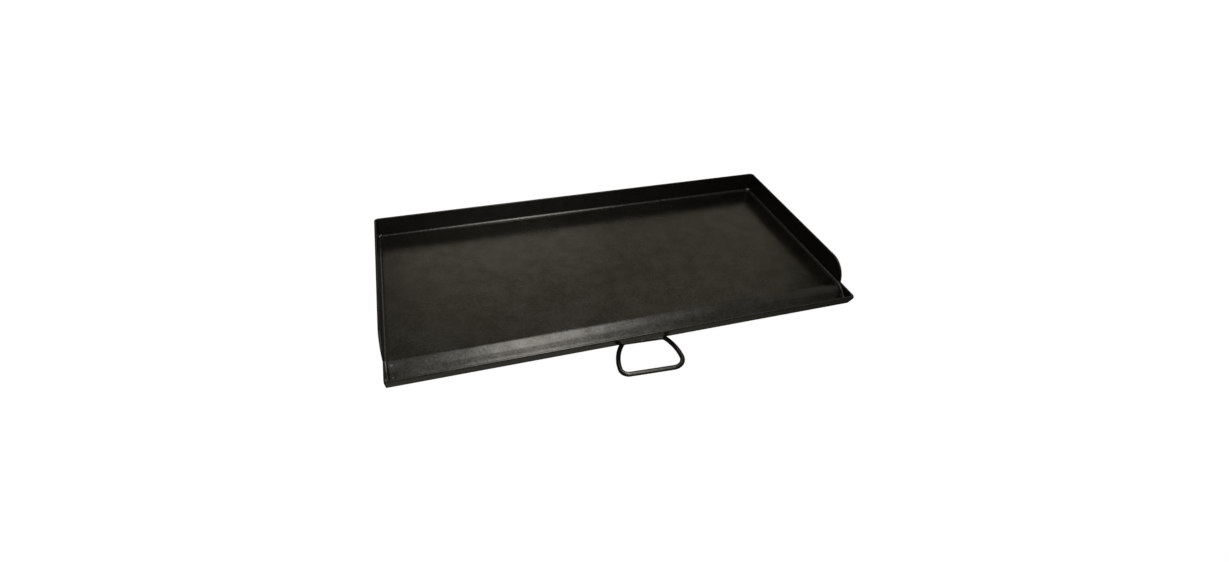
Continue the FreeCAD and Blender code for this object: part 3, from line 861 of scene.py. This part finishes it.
def make_materials():
    """One finish for each material slot of the record."""
    return {
        "seasoned_plate": steel("seasoned_plate", grey(0.0012, 0.12), grey(0.0028, 0.16), grey(0.0024, 0.26),
                                (0.17, 0.28), grain=(0.80, 1.0, 1.0), speck=2.2, sheen=(0.36, 0.65), wear=0.8,
                                edge=2.5 * MM, painted_glints=PLATE_PAINTED_GLINTS),
        "seasoned_wall": steel("seasoned_wall", grey(0.0012, 0.05), grey(0.0022, 0.06), grey(0.0018, 0.12),
                               (0.28, 0.38), wear=0.35, sheen=(0.32, 0.48)),
        "seam_bead": steel("seam_bead", grey(0.004, 0.05), grey(0.009, 0.06), grey(0.005, 0.12),
                           (0.16, 0.25), patch=12.0 * MM, wear=0.2, sheen=(0.08, 0.22), painted_highlight=0.80,
                           painted_glints=CORNER_PAINTED_GLINTS),
        "holder_wire": steel("holder_wire", grey(0.0025, 0.05), grey(0.0050, 0.06), grey(0.0040, 0.12),
                             (0.16, 0.26), patch=20.0 * MM, wear=0.3, sheen=(0.5, 0.75)),
        "underside_bead": steel("underside_bead", grey(0.016, 0.05), grey(0.034, 0.06), grey(0.018, 0.20),
                                (0.26, 0.38), patch=12.0 * MM, wear=0.2, sheen=(0.5, 0.8)),
        "spreader_sheet": steel("spreader_sheet", (0.010, 0.011, 0.016, 1.0), grey(0.024, 0.10),
                                (0.022, 0.015, 0.010, 1.0), (0.40, 0.56), patch=90.0 * MM, wear=0.6),
        "rail_steel": steel("rail_steel", grey(0.010, 0.02), grey(0.019, 0.03), grey(0.016, 0.30),
                            (0.42, 0.58), grain=(0.7, 0.7, 1.0), patch=45.0 * MM, wear=0.7),
    }


# ---------------------------------------------------------------- floor, light and camera

def pale_floor():
    """A plain, nearly white floor under the griddle, curving up into a backdrop all round."""
    level = min(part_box(node)[0].z for node in NODES)
    profile = [(FLOOR_FLAT_R, level)]
    for angle in steps(0.0, math.pi / 2.0, ARC_TURN)[1:]:
        profile.append((FLOOR_FLAT_R + FLOOR_CURVE_R * math.sin(angle),
                        level + FLOOR_CURVE_R * (1.0 - math.cos(angle))))
    turns = [2.0 * math.pi * i / FLOOR_TURNS for i in range(FLOOR_TURNS)]
    verts = [(r * math.cos(a), r * math.sin(a), z) for r, z in profile for a in turns]
    faces = [tuple(range(FLOOR_TURNS))]
    for ring in range(len(profile) - 1):
        base = ring * FLOOR_TURNS
        faces += [(base + i, base + (i + 1) % FLOOR_TURNS, base + FLOOR_TURNS + (i + 1) % FLOOR_TURNS,
                   base + FLOOR_TURNS + i) for i in range(FLOOR_TURNS)]
    mesh = mesh_of("floor", [(verts, faces)])
    mesh.shade_smooth()
    material, shader = new_material("floor_white")
    shader.inputs["Base Color"].default_value = (FLOOR_WHITE, FLOOR_WHITE, FLOOR_WHITE, 1.0)
    shader.inputs["Roughness"].default_value = FLOOR_ROUGH
    shader.inputs["Specular IOR Level"].default_value = 0.0
    shader.inputs["Emission Color"].default_value = (1.0, 1.0, 1.0, 1.0)
    shader.inputs["Emission Strength"].default_value = FLOOR_GLOW
    mesh.materials.append(material)
    floor = bpy.data.objects.new("floor", mesh)
    bpy.context.scene.collection.objects.link(floor)
    floor.visible_glossy = False


def panel(name, centre, aim, size, radiance, colour):
    """A soft rectangular light that shows in reflections but not to the camera."""
    centre = DATUM + Vector(centre)
    aim = DATUM + Vector(aim)
    light = bpy.data.lights.new(name, "AREA")
    light.shape = "RECTANGLE"
    light.size, light.size_y = size
    light.energy = radiance * math.pi * size[0] * size[1]
    light.color = colour
    lamp = bpy.data.objects.new(name, light)
    lamp.location = centre
    lamp.rotation_mode = "QUATERNION"
    lamp.rotation_quaternion = (aim - centre).to_track_quat("-Z", "Y")
    lamp.visible_camera = False
    bpy.context.scene.collection.objects.link(lamp)


def surroundings():
    """A dim room, a little brighter below the horizon except to the right."""
    world = bpy.data.worlds.new("room")
    world.use_nodes = True
    tree = world.node_tree
    direction = add(tree, "ShaderNodeTexCoord", {}).outputs["Generated"]
    parts = add(tree, "ShaderNodeSeparateXYZ", {0: direction})
    rightward = ranged(tree, parts.outputs["X"], *RIGHTWARD, 0.0, 1.0)
    upward = ranged(tree, parts.outputs["Z"], *UPWARD, 0.0, 1.0)
    below = blended(tree, rightward, WORLD_BELOW, WORLD_BELOW_RIGHT)
    tree.links.new(blended(tree, upward, below, WORLD_ABOVE), tree.nodes["Background"].inputs["Color"])
    return world


def room():
    """The surroundings, the light panels, and plain display colours."""
    scene = bpy.context.scene
    scene.world = surroundings()
    for name, settings in PANELS.items():
        panel(name, *settings)
    scene.view_settings.view_transform = "Standard"


def camera():
    data = bpy.data.cameras.new("camera")
    data.lens = LENS
    data.sensor_width = SENSOR
    data.shift_x, data.shift_y = LENS_SHIFT
    across = Vector((math.cos(CAMERA_HEADING), -math.sin(CAMERA_HEADING), 0.0))
    level = Vector((math.sin(CAMERA_HEADING), math.cos(CAMERA_HEADING), 0.0))
    ahead = level * math.cos(CAMERA_DOWN) - Z * math.sin(CAMERA_DOWN)
    upward = across.cross(ahead)
    right = across * math.cos(CAMERA_ROLL) + upward * math.sin(CAMERA_ROLL)
    top = upward * math.cos(CAMERA_ROLL) - across * math.sin(CAMERA_ROLL)
    pose = Matrix((right, top, -ahead)).transposed().to_4x4()
    pose.translation = DATUM + Vector(CAMERA_AT)
    view = bpy.data.objects.new("camera", data)
    view.matrix_world = pose
    bpy.context.scene.collection.objects.link(view)
    bpy.context.scene.camera = view


# ---------------------------------------------------------------- the griddle

def build():
    paint = make_materials()
    bead_paint = paint["seam_bead"]
    under_paint = paint["underside_bead"]
    cooking_plate(paint["seasoned_plate"])
    wall(paint["seasoned_wall"])
    back_seam(bead_paint)
    for side, name in ((-1.0, "left"), (1.0, "right")):
        side_seam(side, name, bead_paint)
        rear_corner(side, name, bead_paint)
        trough_end(side, name, bead_paint)
        heat_spreader(name, paint["spreader_sheet"])
        stitch_welds(name + "_spreader_welds", name + "_heat_spreader", under_paint)
        stitch_welds(name + "_end_rail_welds", name + "_end_rail", under_paint)
        holder_weld("can_holder_" + name + "_weld", under_paint)
    for name in ("front_rail", "rear_rail", "centre_rail"):
        stitch_welds(name + "_welds", name, under_paint)
    holder_weld("can_holder_back_weld", under_paint)
    can_holder(paint["holder_wire"])
    rails(paint["rail_steel"])


build()
pale_floor()
room()
camera()
